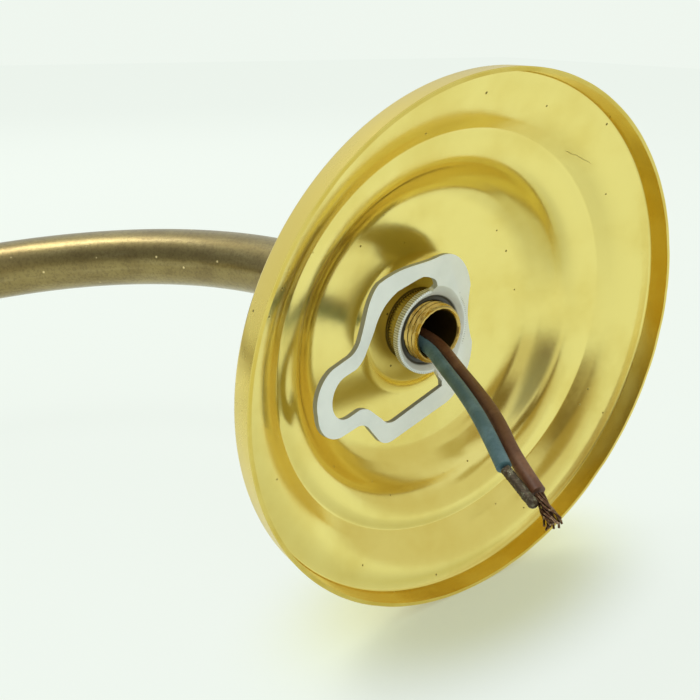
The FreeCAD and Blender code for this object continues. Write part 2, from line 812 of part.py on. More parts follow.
# Wall end
save("canopy", make_canopy())
save("lock_nut", make_lock_nut())
save("wall_nipple", make_wall_nipple())
save("hanger_plate", make_hanger_plate())
save("front_collar", make_collar())

# Arm
save("arm_tube", make_arm())
save("arm_top_nipple", nipple_upright(arm_top - nipple_engagement, arm_top + nipple_engagement))

# Knuckle: the upper half is the lower half turned over about the line through the pivot
knuckle_half = make_knuckle_half()
upper_half = knuckle_half.copy()
upper_half.rotate(vec(0, head_y, pivot_z), Y_AXIS, 180)
save("knuckle_base", knuckle_half)
save("knuckle_head", upper_half)
save("knuckle_washer", make_washer())
save("thumb_screw", make_thumb_screw())

# Lampholder
save("head_nipple", nipple_upright(head_base - nipple_engagement, head_base + cap_collar_height))
save("holder_cap", make_holder_cap())
save("cap_set_screw", make_set_screw())
save("holder_shell", make_shell())
save("insulating_liner", make_liner())
save("socket_body", make_socket())
save("lamp_shell", make_lamp_shell())
save("centre_contact", make_centre_contact())
save("side_contact", make_side_contact())
save("switch_blade", make_switch_blade())
save("terminal_screws", make_terminal_screws())
save("shade_ring", make_shade_ring())

# Turn switch
save("switch_rotor", make_rotor())
save("switch_shaft", make_switch_shaft())
save("switch_key", make_switch_key())

# Wiring
save("blue_core_in_arm", core_in_arm(blue_place))
save("brown_core_in_arm", core_in_arm(brown_place))
save("blue_core_in_head", core_in_head(blue_place, 1, "blue_core_in_head"))
save("brown_core_in_head", core_in_head(brown_place, -1, "brown_core_in_head"))
save("blue_lead", cord(blue_route, core_radius, "blue_lead"))
save("brown_lead", cord(brown_route, core_radius, "brown_lead"))
save("blue_conductor", make_conductor())
save("brown_strands", make_strands())
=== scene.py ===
import json
import math

import bmesh
import bpy
from mathutils import Matrix, Vector, noise

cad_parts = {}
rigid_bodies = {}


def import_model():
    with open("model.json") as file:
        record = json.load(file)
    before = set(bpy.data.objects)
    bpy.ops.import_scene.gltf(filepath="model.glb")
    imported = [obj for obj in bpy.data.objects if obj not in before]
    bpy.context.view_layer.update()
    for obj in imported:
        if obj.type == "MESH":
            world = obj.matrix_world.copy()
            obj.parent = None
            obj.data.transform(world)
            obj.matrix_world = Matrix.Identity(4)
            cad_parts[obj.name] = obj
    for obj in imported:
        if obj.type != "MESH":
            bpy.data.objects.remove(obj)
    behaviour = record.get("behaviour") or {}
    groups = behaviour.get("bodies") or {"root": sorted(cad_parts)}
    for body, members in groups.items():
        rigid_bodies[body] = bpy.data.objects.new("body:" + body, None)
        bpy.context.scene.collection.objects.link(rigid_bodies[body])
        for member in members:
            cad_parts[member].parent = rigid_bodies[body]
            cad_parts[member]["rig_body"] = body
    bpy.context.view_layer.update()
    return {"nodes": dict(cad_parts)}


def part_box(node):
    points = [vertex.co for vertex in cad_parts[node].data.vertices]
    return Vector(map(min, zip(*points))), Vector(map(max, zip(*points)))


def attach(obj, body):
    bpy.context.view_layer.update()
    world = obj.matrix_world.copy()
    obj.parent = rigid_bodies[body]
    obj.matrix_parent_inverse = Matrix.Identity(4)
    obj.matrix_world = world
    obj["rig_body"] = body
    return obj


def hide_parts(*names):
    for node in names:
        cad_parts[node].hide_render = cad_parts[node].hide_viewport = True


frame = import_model()

# Camera: it looks down into the back of the canopy, with the lamp lying on its side and the
# arm reaching away to the left.
camera_place = Vector((-0.05587, 0.07657, 0.07348))
camera_right = Vector((0.0907, 0.5710, -0.8162)).normalized()
camera_ahead = Vector((0.4454, -0.7561, -0.4794)).normalized()
camera_up = camera_right.cross(camera_ahead)
camera_data = bpy.data.cameras.new("camera")
camera_data.lens = 41.14
camera_data.sensor_width = 36.0
camera_data.clip_start = 0.005
camera = bpy.data.objects.new("camera", camera_data)
camera.matrix_world = Matrix.Translation(camera_place) @ Matrix(
    (camera_right, camera_up, -camera_ahead)).transposed().to_4x4()
bpy.context.scene.collection.objects.link(camera)
bpy.context.scene.camera = camera
bpy.context.scene.view_settings.view_transform = "Standard"

# Canopy: a shallow bowl spun from thin brass sheet, seen from its hollow side. It has a straight
# rim wall, a curved flange, a step, a narrow shelf, a shoulder, the dish and a raised boss.
# Its lacquer is worn: pinholes, one long scratch and a browner inner rim wall; the outer rim wall
# is darker all round. Painted shade darkens a thin ring round the nut's base and the band where
# the boss falls to the dish.
millimetre = 0.001
y_axis = Vector((0, 1, 0))
wall_centre = Vector((0, 0, 0))
canopy_sheet = 0.6
canopy_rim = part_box("canopy")[1].x / millimetre
canopy_inside = canopy_rim - canopy_sheet
canopy_corners = [
    (5.15, -18.4, 0), (6.2, -18.4, 0.4), (9.9, -18.0, 0.15), (11.2, -19.0, 1.2),
    (22.5, -16.2, 1.6), (25.7, -13.2, 1.4), (27.4, -10.25, 1.1),
    (29.4, -9.0, 1.4), (31.1, -8.45, 1.0), (32.3, -8.25, 0.25),
    (34.8, -5.9, 1.3), (37.5, -4.35, 1.6), (canopy_inside, -3.4, 0.3), (canopy_inside, 0, 0),
]
canopy_steps = 300
rim_knock = 0.00012
knock_scale = 260.0
knocked_above = -0.0004
pinholes = [(-19.5, 30.6), (-37.3, -3.4), (-28.9, -27.2), (-7.8, -19.0), (5.6, 5.8), (-3.6, 5.6)]
pinhole_radius = 0.00026
scratch_start = (-25.6, -21.8)
scratch_end = (-22.4, -27.2)
scratch_width = 0.0001
scratch_wobble = 0.0005
scratch_fades = (0.0006, 0.0015)
# A thin ring round the nut's base is painted dark: painted shade where the nut meets the boss.
nut_shadow_radius = 6.05
nut_shadow_width = 0.2
boss_edge = (0.0107, 0.0098)
foot_inside = (0.0099, 0.0106)
foot_outside = (0.0128, 0.0116)
boss_grain = 3.0
wall_grain = 1.5
outer_wall_darkening = 0.7
pit_scale = 420.0
pit_size = 0.09
# This brown paints the pits, and also painted shade: the ring round the canopy's nut and the nipple's bore.
pit_and_shade_brown = (0.10, 0.065, 0.012)
brass_relief = 0.00004


class Value:
    """A number, vector or colour that a shader node gives. Arithmetic on it adds Math nodes."""

    def __init__(self, tree, socket=None):
        self.tree = tree
        self.socket = socket

    def node(self, kind, settings, inputs, output=0):
        """Adds a node: its settings first, then a value or a link for each named socket."""
        made = self.tree.nodes.new(kind)
        for name, setting in settings.items():
            setattr(made, name, setting)
        for name, value in inputs.items():
            if isinstance(value, Value):
                self.tree.links.new(value.socket, made.inputs[name])
            else:
                made.inputs[name].default_value = value
        return Value(self.tree, made.outputs[output] if made.outputs else None)

    def maths(self, operation, *numbers):
        return self.node("ShaderNodeMath", {"operation": operation}, dict(enumerate(numbers)))

    def vector(self, operation, other, output="Vector"):
        return self.node("ShaderNodeVectorMath", {"operation": operation}, {0: self, 1: other}, output)

    def __add__(self, other):
        return self.maths("ADD", self, other)

    def __sub__(self, other):
        return self.maths("SUBTRACT", self, other)

    def __rsub__(self, other):
        return self.maths("SUBTRACT", other, self)

    def __mul__(self, other):
        return self.maths("MULTIPLY", self, other)

    def __abs__(self):
        return self.maths("ABSOLUTE", self)

    def larger(self, other):
        return self.maths("MAXIMUM", self, other)

    __radd__ = __add__
    __rmul__ = __mul__


def smooth_step(value, low, high):
    """0 below low and 1 above high, with a smooth rise between; low may lie above high."""
    settings = {"interpolation_type": "SMOOTHSTEP"}
    inputs = {"Value": value, "From Min": low, "From Max": high, "To Min": 0.0, "To Max": 1.0}
    if low > high:
        inputs.update({"From Min": high, "From Max": low, "To Min": 1.0, "To Max": 0.0})
    return value.node("ShaderNodeMapRange", settings, inputs)


def mixed(factor, first, second):
    """A colour between two colours; each is a value or a tuple of red, green, blue."""
    first, second = [c if isinstance(c, Value) else (*c, 1.0) for c in (first, second)]
    return factor.node("ShaderNodeMix", {"data_type": "RGBA"}, {0: factor, 6: first, 7: second}, output=2)


def noise_at(place, scale, detail=3.0, roughness=0.55):
    """A cloudy value about 0.5, with patches 1 / scale across in the place's own units."""
    inputs = {"Vector": place, "Scale": scale, "Detail": detail, "Roughness": roughness}
    return place.node("ShaderNodeTexNoise", {}, inputs)


def pits(place, scale, size):
    """Small sparse dots: 1 in a dot, 0 elsewhere. Only some of the cells hold one."""
    inputs = {"Vector": place, "Scale": scale, "Randomness": 1.0}
    near = place.node("ShaderNodeTexVoronoi", {"feature": "F1"}, inputs, "Distance")
    lot = place.node("ShaderNodeTexVoronoi", {"feature": "F1"}, inputs, "Color")
    chosen = smooth_step(lot.node("ShaderNodeSeparateColor", {}, {"Color": lot}), 0.86, 0.9)
    return smooth_step(near, size, 0.4 * size) * chosen


def new_material(name):
    """An empty node material, and the place on the object that its patterns read."""
    made = bpy.data.materials.new(name)
    made.use_nodes = True
    made.node_tree.nodes.clear()
    place = Value(made.node_tree).node("ShaderNodeTexCoord", {}, {}, "Object")
    return made, place


def shaded(made, place, sockets, height, depth):
    """Closes a material with the Principled shader and a bump whose height runs over depth metres."""
    bump = {"Height": height, "Strength": 1.0, "Distance": depth}
    sockets["Normal"] = place.node("ShaderNodeBump", {}, bump)
    shader = place.node("ShaderNodeBsdfPrincipled", {}, sockets)
    place.node("ShaderNodeOutputMaterial", {}, {"Surface": shader})
    return made


def brass(name, bright, dull, roughness, haze, wear, marks=None):
    """Brass: tarnished clouds dull the colour and the gloss, and fine pits sit in it. A piece's marks may add
    painted shade.
    """
    made, place = new_material(name)
    cloud = smooth_step(noise_at(place, 70.0, 4.0), 0.4, 0.72)
    grain = noise_at(place, 900.0, 2.0)
    spot = pits(place, pit_scale, pit_size)
    tarnish_and_shade = cloud * wear
    if marks:
        mark, stain_and_shade, rough = marks(place)
        # The marks can bring painted shade as well as pits and wear; it is mixed into the brown and the dull
        # colour below.
        spot = spot.larger(mark)
        tarnish_and_shade = tarnish_and_shade.larger(stain_and_shade)
        grain = grain + rough
    colour = mixed(tarnish_and_shade, bright, dull)
    colour = mixed(spot * 0.8, colour, pit_and_shade_brown)
    gloss = roughness + haze * cloud + 0.06 * (grain - 0.5) + 0.3 * spot
    height = noise_at(place, 260.0, 2.0) * 0.4 + grain * 0.06 - spot * 0.4
    return shaded(made, place, {"Base Color": colour, "Metallic": 1.0, "Roughness": gloss}, height,
                  brass_relief)


def turned_piece(axis, centre, corners, count, closed=True):
    """Spins corners (radius, place along the axis, rounding, in millimetres) once round the axis."""
    bm = bmesh.new()
    side = Vector((axis.y, axis.z, axis.x))
    points = [bm.verts.new((side * r + axis * a) * millimetre) for r, a, _ in corners]
    for pair in zip(points, points[1:] + points[:1] if closed else points[1:]):
        bm.edges.new(pair)
    for point, (_, _, rounding) in zip(points, corners):
        if rounding:
            bmesh.ops.bevel(bm, geom=[point], offset=rounding * millimetre, offset_type="OFFSET",
                            segments=max(3, round(4 * rounding)), profile=0.5, affect="VERTICES",
                            clamp_overlap=True, material=-1)
    bmesh.ops.spin(bm, geom=bm.verts[:] + bm.edges[:], cent=(0, 0, 0), axis=axis, dvec=(0, 0, 0),
                   angle=2 * math.pi, steps=count, use_merge=True)
    bmesh.ops.translate(bm, verts=bm.verts[:], vec=centre)
    bmesh.ops.remove_doubles(bm, verts=bm.verts[:], dist=1e-7)
    bmesh.ops.recalc_face_normals(bm, faces=bm.faces[:])
    return bm


def walled(bm, face, outwards, thickness):
    """Makes faces point the way that this one should, and gives them a wall behind."""
    if face.normal.dot(outwards) < 0:
        bmesh.ops.reverse_faces(bm, faces=bm.faces[:])
    bmesh.ops.solidify(bm, geom=bm.faces[:], thickness=thickness * millimetre)


def mesh_from(bm, name, material):
    """The finished mesh of a piece or a board, in its material."""
    mesh = bpy.data.meshes.new(name)
    bm.to_mesh(mesh)
    bm.free()
    mesh.materials.append(material)
    return mesh


def dressed(name, shape, node):
    """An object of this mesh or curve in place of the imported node, on the body that it rides on."""
    piece = bpy.data.objects.new(name, shape)
    bpy.context.scene.collection.objects.link(piece)
    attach(piece, frame["nodes"][node]["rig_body"])
    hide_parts(node)
    return piece


def placed(bm, name, node, material, sharp=38):
    """Puts a smooth-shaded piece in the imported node's place; edges over the sharp angle stay sharp."""
    mesh = mesh_from(bm, name, material)
    mesh.polygons.foreach_set("use_smooth", [True] * len(mesh.polygons))
    mesh.set_sharp_from_angle(angle=math.radians(sharp))
    return dressed(name, mesh, node)


def canopy_marks(place):
    """Pinholes and a scratch at their own places, the browner rim wall and the dull boss, and painted
    shade: a dark ring round the nut's base and a darker band round the boss's foot.
    """
    flat = place.vector("MULTIPLY", (1, 0, 1))
    mark = None
    for x, z in pinholes:
        away = flat.vector("DISTANCE", (x * millimetre, 0, z * millimetre), "Value")
        hole = smooth_step(away, pinhole_radius, 0.4 * pinhole_radius)
        mark = mark.larger(hole) if mark else hole
    start = Vector((scratch_start[0], 0, scratch_start[1])) * millimetre
    way = Vector((scratch_end[0], 0, scratch_end[1])) * millimetre - start
    across = Vector((way.z, 0, -way.x)).normalized()
    wobble = (noise_at(place, 400.0, 1.0) - 0.5) * scratch_wobble
    aside = flat.vector("DOT_PRODUCT", across, "Value") - start.dot(across) + wobble
    ahead = flat.vector("DOT_PRODUCT", way.normalized(), "Value") - start.dot(way.normalized())
    line = smooth_step(abs(aside), scratch_width, 0.3 * scratch_width)
    line = line * smooth_step(ahead, 0, scratch_fades[0])
    line = line * smooth_step(ahead, way.length, way.length - scratch_fades[1])
    radius = flat.vector("LENGTH", (0, 0, 0), "Value")
    wall = smooth_step(radius, (canopy_inside - 0.15) * millimetre, (canopy_inside - 0.02) * millimetre)
    outside = smooth_step(radius, (canopy_rim - 0.2) * millimetre, (canopy_rim - 0.05) * millimetre)
    stain_and_shade = wall * (1 - outside) * (0.55 + 0.7 * smooth_step(noise_at(place, 110.0, 4.0), 0.35, 0.75))
    # Painted shade: a thin dark ring round the nut's base on the boss.
    nut_shadow = abs(radius - nut_shadow_radius * millimetre)
    nut_shadow = smooth_step(nut_shadow, 1.6 * nut_shadow_width * millimetre, 0.6 * nut_shadow_width * millimetre)
    mark = mark.larger((line * 0.5).larger(nut_shadow * (1 - outside)))
    # Painted shade: the band where the boss falls to the dish is painted darker, in patches.
    foot = smooth_step(radius, *foot_inside) * smooth_step(radius, *foot_outside)
    foot = foot * (0.2 + 0.8 * smooth_step(noise_at(place, 90.0, 2.0), 0.3, 0.65))
    rough = boss_grain * smooth_step(radius, *boss_edge) + wall_grain * outside
    # The rim's outer wall is made darker all round.
    return mark, stain_and_shade.larger(foot.larger(outside * outer_wall_darkening)), rough


canopy = turned_piece(y_axis, wall_centre, canopy_corners, canopy_steps, closed=False)
boss_face = min(canopy.faces, key=lambda face: face.calc_center_median().y)
walled(canopy, boss_face, y_axis, canopy_sheet)
for vert in canopy.verts:
    if vert.co.y > knocked_above:
        vert.co.y -= rim_knock * max(0.0, noise.noise(Vector((vert.co.x, 0, vert.co.z)) * knock_scale))
canopy_finish = brass("canopy_brass", bright=(0.91, 0.76, 0.25), dull=(0.76, 0.56, 0.11), roughness=0.18,
                      haze=0.07, wear=0.42, marks=canopy_marks)
placed(canopy, "spun_canopy", "canopy", canopy_finish)

# Lock nut: a round brass nut with a finely knurled edge that clamps the canopy on its nipple.
# It has gone brown, lighter and darker in clouds.
nut_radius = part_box("lock_nut")[1].x / millimetre
nut_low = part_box("lock_nut")[0].y / millimetre
nut_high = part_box("lock_nut")[1].y / millimetre
nut_bore = 5.03
nut_ease = 0.25
nut_knurls = 72
knurl_depth = 0.0001
steps_per_knurl = 8


def grooved(bm, centre, axis, depth):
    """Sinks points towards the axis by depth(radius, turn, along); turn is a share of a circle."""
    side = Vector((axis.y, axis.z, axis.x))
    other = axis.cross(side)
    for vert in bm.verts:
        arm = vert.co - centre
        along = arm.dot(axis)
        across = arm - axis * along
        if across.length > 1e-6:
            turn = math.atan2(across.dot(other), across.dot(side)) / (2 * math.pi)
            vert.co -= across.normalized() * depth(across.length, turn, along)


def knurled(bm, centre, axis, outer, count, depth):
    """Cuts straight V grooves along a round edge."""
    def groove(radius, turn, along):
        return depth * abs(turn * count % 1.0 - 0.5) * 2 if radius > outer else 0.0
    grooved(bm, centre, axis, groove)


nut = turned_piece(y_axis, wall_centre, [
    (nut_bore, nut_low, 0), (nut_radius, nut_low, 0.3), (nut_radius, nut_high, nut_ease),
    (nut_bore, nut_high, 0)], steps_per_knurl * nut_knurls)
knurled(nut, wall_centre, y_axis, (nut_radius - 1.1 * nut_ease) * millimetre, nut_knurls, knurl_depth)
nut_finish = brass("nut_brass", bright=(0.46, 0.37, 0.14), dull=(0.18, 0.125, 0.05), roughness=0.25,
                   haze=0.15, wear=0.85)
placed(nut, "knurled_lock_nut", "lock_nut", nut_finish)

# Wall nipple: a brass tube threaded M10 x 1 all along, so that it takes the nut, the canopy,
# the hanger plate and the arm. The cores come out of its chamfered mouth.
nipple_radius = 5.0
nipple_bore = 4.0
nipple_chamfer = 0.3
mouth_chamfer = 0.45
thread_pitch = 1.0
thread_depth = 0.00045
thread_rows = 8
thread_flank = 2.6
thread_sides = 96
mouth_knock = 0.00008
mouth_scale = 1800.0
noise_seed = 1


def threaded_tube(axis, centre, low, high):
    """A tube with a helical thread and chamfered ends, from low to high along its axis."""
    edge = mouth_chamfer
    rows = round((high - low - 2 * edge) / thread_pitch * thread_rows)
    rise = (high - low - 2 * edge) / rows
    corners = [(nipple_bore, high - nipple_chamfer, 0), (nipple_bore + nipple_chamfer, high, 0),
               (nipple_radius - edge, high, 0)]
    corners += [(nipple_radius, high - edge - rise * row, 0) for row in range(rows + 1)]
    corners += [(nipple_radius - edge, low, 0), (nipple_bore, low, 0)]
    bm = turned_piece(axis, centre, corners, thread_sides)

    def groove(radius, turn, along):
        phase = (along / millimetre / thread_pitch - turn) % 1.0
        cut = (1 - min(1.0, abs(phase - 0.5) * thread_flank)) * thread_depth
        return cut if radius > (nipple_radius - 0.5 * edge) * millimetre else 0.0

    grooved(bm, centre, axis, groove)
    return bm


nipple_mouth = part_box("wall_nipple")[1].y / millimetre
nipple_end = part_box("wall_nipple")[0].y / millimetre


def bore_painted_shade(place):
    """The bore is painted dark: painted shade inside the tube."""
    flat = place.vector("MULTIPLY", (1, 0, 1)).vector("LENGTH", (0, 0, 0), "Value")
    black = smooth_step(flat, (nipple_bore + 0.12) * millimetre, (nipple_bore + 0.02) * millimetre)
    return black, flat * 0.0, flat * 0.0


thread_finish = brass("thread_brass", bright=(0.64, 0.44, 0.12), dull=(0.26, 0.15, 0.03), roughness=0.2,
                      haze=0.1, wear=0.85, marks=bore_painted_shade)
wall_nipple = threaded_tube(y_axis, wall_centre, nipple_end, nipple_mouth)
# Without a seed the vector noise follows the clock, and each run would knock the metal otherwise.
noise.seed_set(noise_seed)
for vert in wall_nipple.verts:
    if vert.co.y > (nipple_mouth - 0.5 * nipple_chamfer) * millimetre:
        vert.co += noise.noise_vector(vert.co * mouth_scale) * mouth_knock
placed(wall_nipple, "threaded_wall_nipple", "wall_nipple", thread_finish)

# Hanger plate: a keyhole frame stamped from zinc-plated steel, tilted towards the wall. Its
# dished eye turns on the nipple, and the punch has left fine upright marks round the eye's edge.
plate_ease = 0.00015
plate_tilt = math.radians(15.1)
eye_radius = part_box("lock_nut")[1].x + 0.00125
eye_rim = -0.01395
eye_ribs = 110
eye_mouth = 0.0058
eye_reach = 0.0088
strip_middle = 0.0111
neck_start = 0.0135
neck_length = 0.006
neck_inset = 0.0065
outer_bow = 0.0017
outer_rise = (-0.002, 0.011)
outer_fall = (0.013, 0.019)
inner_bow = 0.0020
inner_rise = (-0.001, 0.004)
inner_fall = (0.0095, 0.0165)
slot_side = 0.0035
opening_corner = 0.0093
corner_round = 0.0012
corner_near = (0.0002, 0.0005)
long_edge = 0.003
mark_edge = 0.0002
speck_size = 0.10
zinc_relief = 0.00003
zinc_pale = (0.96, 0.985, 0.98)
zinc_dull = (0.88, 0.91, 0.91)
zinc_speck = (0.20, 0.19, 0.17)
punched_steel = (0.24, 0.235, 0.17)
# Near black for the eye's opening, as painted shade.
mouth_painted_shade = (0.05, 0.045, 0.03)
rib_grey = (0.16, 0.16, 0.15)


def zinc(name, marks=None):
    """Pale zinc plating: faint grey clouds, fine grain and a few darker specks."""
    made, place = new_material(name)
    cloud = noise_at(place, 120.0, 4.0)
    grain = noise_at(place, 1500.0, 2.0)
    speck = pits(place, pit_scale, speck_size)
    colour = mixed(smooth_step(cloud, 0.35, 0.7), zinc_pale, zinc_dull)
    colour = mixed(speck * 0.5, colour, zinc_speck)
    height = grain * 0.3 + cloud * 0.4
    if marks:
        rib, edge, mouth = marks(place)
        colour = mixed(edge * 0.75, colour, punched_steel)
        # The eye's opening is painted near black: painted shade where the eye falls to the thread.
        colour = mixed(mouth * 0.95, colour, mouth_painted_shade)
        colour = mixed(rib * 0.6, colour, rib_grey)
        height = height - 2.0 * rib
    gloss = 0.34 + 0.14 * cloud + 0.1 * (grain - 0.5)
    sockets = {"Base Color": colour, "Metallic": 0.15, "Roughness": gloss}
    return shaded(made, place, sockets, height, zinc_relief)


def plate_marks(place):
    """Upright ribs on the eye's outer wall, the darker steel of the punched edges, and painted shade in the
    eye's opening.
    """
    split = {"Vector": place}
    x, y, z = [place.node("ShaderNodeSeparateXYZ", {}, split, axis) for axis in ("X", "Y", "Z")]
    ribs = smooth_step(x.maths("SINE", x.maths("ARCTAN2", x, z) * eye_ribs), 0.1, 0.7)
    radius = place.vector("MULTIPLY", (1, 0, 1)).vector("LENGTH", (0, 0, 0), "Value")
    wall = smooth_step(radius, eye_radius - 2 * mark_edge, eye_radius - mark_edge)
    wall = wall * smooth_step(radius, eye_radius + 2 * mark_edge, eye_radius + mark_edge)
    ribs = ribs * wall * smooth_step(y, eye_rim + 0.5 * mark_edge, eye_rim - 0.5 * mark_edge)
    facing = place.node("ShaderNodeNewGeometry", {}, {}, "Normal")
    facing = facing.vector("DOT_PRODUCT", (0, math.cos(plate_tilt), -math.sin(plate_tilt)), "Value")
    punched = smooth_step(abs(facing), 0.45, 0.2)
    punched = punched * smooth_step(radius, eye_radius + 2 * mark_edge, eye_radius + 4 * mark_edge)
    return ribs, punched, smooth_step(radius, eye_mouth + 1.5 * mark_edge, eye_mouth)


def joined_copy(node):
    """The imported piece's mesh with its loose triangles joined, and its flat faces made whole."""
    bm = bmesh.new()
    bm.from_mesh(frame["nodes"][node].data)
    bmesh.ops.remove_doubles(bm, verts=bm.verts[:], dist=2e-7)
    bmesh.ops.dissolve_limit(bm, angle_limit=math.radians(1.0), verts=bm.verts[:], edges=bm.edges[:],
                             use_dissolve_boundaries=False, delimit={"NORMAL"})
    return bm


def eased(bm, sharp_angle, radius, segments=2):
    """Rounds the sharp edges a little, as on a real part."""
    sharp = [edge for edge in bm.edges if edge.calc_face_angle(0) > math.radians(sharp_angle)]
    bmesh.ops.bevel(bm, geom=sharp, offset=radius, offset_type="OFFSET", segments=segments,
                    profile=0.5, affect="EDGES", clamp_overlap=True, material=-1)


def ramp(value, low, high):
    """0 below low and 1 above high, with a smooth rise between."""
    share = min(1.0, max(0.0, (value - low) / (high - low)))
    return share * share * (3 - 2 * share)


def bowed(bm):
    """Bends the plate's left strip a little outwards, and rounds the opening's upper left corner."""
    corner = [edge for edge in bm.edges if all(
        abs(v.co.x + opening_corner) < corner_near[0] and abs(v.co.z) < corner_near[1] for v in edge.verts)]
    bmesh.ops.bevel(bm, geom=corner, offset=corner_round, offset_type="OFFSET", segments=5, profile=0.5,
                    affect="EDGES", clamp_overlap=True, material=-1)
    long_edges = [edge for edge in bm.edges if edge.calc_length() > long_edge]
    bmesh.ops.subdivide_edges(bm, edges=long_edges, cuts=8)
    for vert in bm.verts:
        along = vert.co.z / math.cos(plate_tilt)
        middle = strip_middle - neck_inset * min(1.0, max(0.0, (along - neck_start) / neck_length))
        if math.hypot(vert.co.x, vert.co.z) < eye_reach:
            continue
        if vert.co.x < -middle:
            vert.co.x -= outer_bow * ramp(along, *outer_rise) * (1 - ramp(along, *outer_fall))
        elif vert.co.x < -slot_side:
            vert.co.x -= inner_bow * ramp(along, *inner_rise) * (1 - ramp(along, *inner_fall))


plate = joined_copy("hanger_plate")
bowed(plate)
eased(plate, 40, plate_ease)
placed(plate, "stamped_hanger_plate", "hanger_plate", zinc("zinc_steel", plate_marks), 22)

# Front collar: a turned brass disc that covers the joint between the canopy and the arm. It has
# the arm's brown patina, a rounded front edge and a flat back.
collar_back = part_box("front_collar")[1].y / millimetre
collar_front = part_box("front_collar")[0].y / millimetre
collar_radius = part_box("front_collar")[1].x / millimetre
collar_bore = 5.15
collar_sides = 128
chip_scale = 500.0
chip_size = 0.17
patina_olive = (0.33, 0.25, 0.09)
patina_dark = (0.19, 0.13, 0.045)
patina_satin = (0.43, 0.34, 0.15)
patina_grime = (0.13, 0.09, 0.04)
chip_bright = (0.90, 0.72, 0.34)


def patina(name, attribute=None):
    """Old brass gone brown: olive and dark patches, and chips down to the bright metal."""
    made, place = new_material(name)
    streak = noise_at(place, 160.0, 3.0)
    if attribute:
        place = place.node("ShaderNodeAttribute", {"attribute_name": attribute}, {}, "Vector")
        streak = noise_at(place.vector("MULTIPLY", (1.0, 1.0, 0.1)), 500.0, 3.0)
    cloud = noise_at(place, 110.0, 4.0)
    grain = noise_at(place, 1600.0, 3.0, 0.7)
    chip = pits(place, chip_scale, chip_size)
    colour = mixed(smooth_step(cloud, 0.35, 0.75) * 0.6, patina_olive, patina_dark)
    colour = mixed(smooth_step(streak, 0.45, 0.72) * 0.5, colour, patina_satin)
    colour = mixed(smooth_step(grain, 0.42, 0.66) * 0.4, colour, patina_grime)
    colour = mixed(chip, colour, chip_bright)
    gloss = 0.30 + 0.05 * cloud + 0.14 * (grain - 0.5)
    height = grain * 0.25 + streak * 0.3 + noise_at(place, 240.0, 2.0) * 0.2
    sockets = {"Base Color": colour, "Metallic": 1 - 0.8 * chip, "Roughness": gloss,
               "Coat Weight": 0.35, "Coat Roughness": 0.28}
    return shaded(made, place, sockets, height, brass_relief)


patina_finish = patina("arm_brass")
collar = turned_piece(y_axis, wall_centre, [
    (collar_bore, collar_back, 0), (collar_radius, collar_back, 0.15),
    (collar_radius, collar_front, 0.8), (collar_bore, collar_front, 0.1)], collar_sides)
placed(collar, "turned_front_collar", "front_collar", patina_finish)

# Arm: brass tube drawn through one easy bend, from the collar out and then up to the knuckle.
# Age has browned it, and rubbing has left satin streaks that run along it.
x_axis = Vector((1, 0, 0))
arm_low, arm_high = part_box("arm_tube")
tube_radius = arm_high.x
tube_bore = 0.0045
bend_radius = 0.071
head_y = arm_low.y + tube_radius
bend_start = head_y + bend_radius
tube_sides = 96
bend_steps = 90
tube_ease = 0.0003


def drawn_on(bm, edges, way):
    """Pulls the tube's open end straight on."""
    grown = bmesh.ops.extrude_edge_only(bm, edges=edges)["geom"]
    bmesh.ops.translate(bm, verts=[part for part in grown if isinstance(part, bmesh.types.BMVert)], vec=way)
    return [part for part in grown if isinstance(part, bmesh.types.BMEdge)]


def bent_tube():
    """The tube's outer skin, drawn on round its bend and then given its wall."""
    bm = bmesh.new()
    facing = Matrix.Translation((0, arm_high.y, 0)) @ Matrix.Rotation(math.pi / 2, 4, "X")
    bmesh.ops.create_circle(bm, segments=tube_sides, radius=tube_radius, matrix=facing)
    edges = drawn_on(bm, bm.edges[:], (0, bend_start - arm_high.y, 0))
    edges = [edge for edge in edges if all(abs(v.co.y - bend_start) < 1e-6 for v in edge.verts)]
    swept = bmesh.ops.spin(bm, geom=edges, cent=(0, bend_start, bend_radius), axis=x_axis, dvec=(0, 0, 0),
                           angle=-math.pi / 2, steps=bend_steps)["geom_last"]
    edges = [part for part in swept if isinstance(part, bmesh.types.BMEdge)]
    drawn_on(bm, edges, (0, 0, arm_high.z - bend_radius))
    bmesh.ops.remove_doubles(bm, verts=bm.verts[:], dist=1e-7)
    bmesh.ops.recalc_face_normals(bm, faces=bm.faces[:])
    bm.normal_update()
    first = max(bm.faces, key=lambda face: face.calc_center_median().y)
    outwards = first.calc_center_median()
    outwards.y = 0
    walled(bm, first, outwards, (tube_radius - tube_bore) / millimetre)
    eased(bm, 60, tube_ease)
    return bm


def along_arm(place):
    """Where a point lies on the tube: its two offsets from the middle line, and the way along."""
    if place.y > bend_start:
        return (place.x, place.z, arm_high.y - place.y)
    straight = arm_high.y - bend_start
    if place.z < bend_radius:
        back = Vector((bend_start - place.y, bend_radius - place.z))
        angle = math.atan2(back.x, back.y)
        return (place.x, bend_radius - back.length, straight + bend_radius * angle)
    return (place.x, place.y - head_y, straight + bend_radius * math.pi / 2 + place.z - bend_radius)


arm = placed(bent_tube(), "bent_arm", "arm_tube", patina("arm_patina", "along_arm"))
lengthwise = arm.data.attributes.new("along_arm", "FLOAT_VECTOR", "POINT")
for vert in arm.data.vertices:
    lengthwise.data[vert.index].vector = along_arm(vert.co)

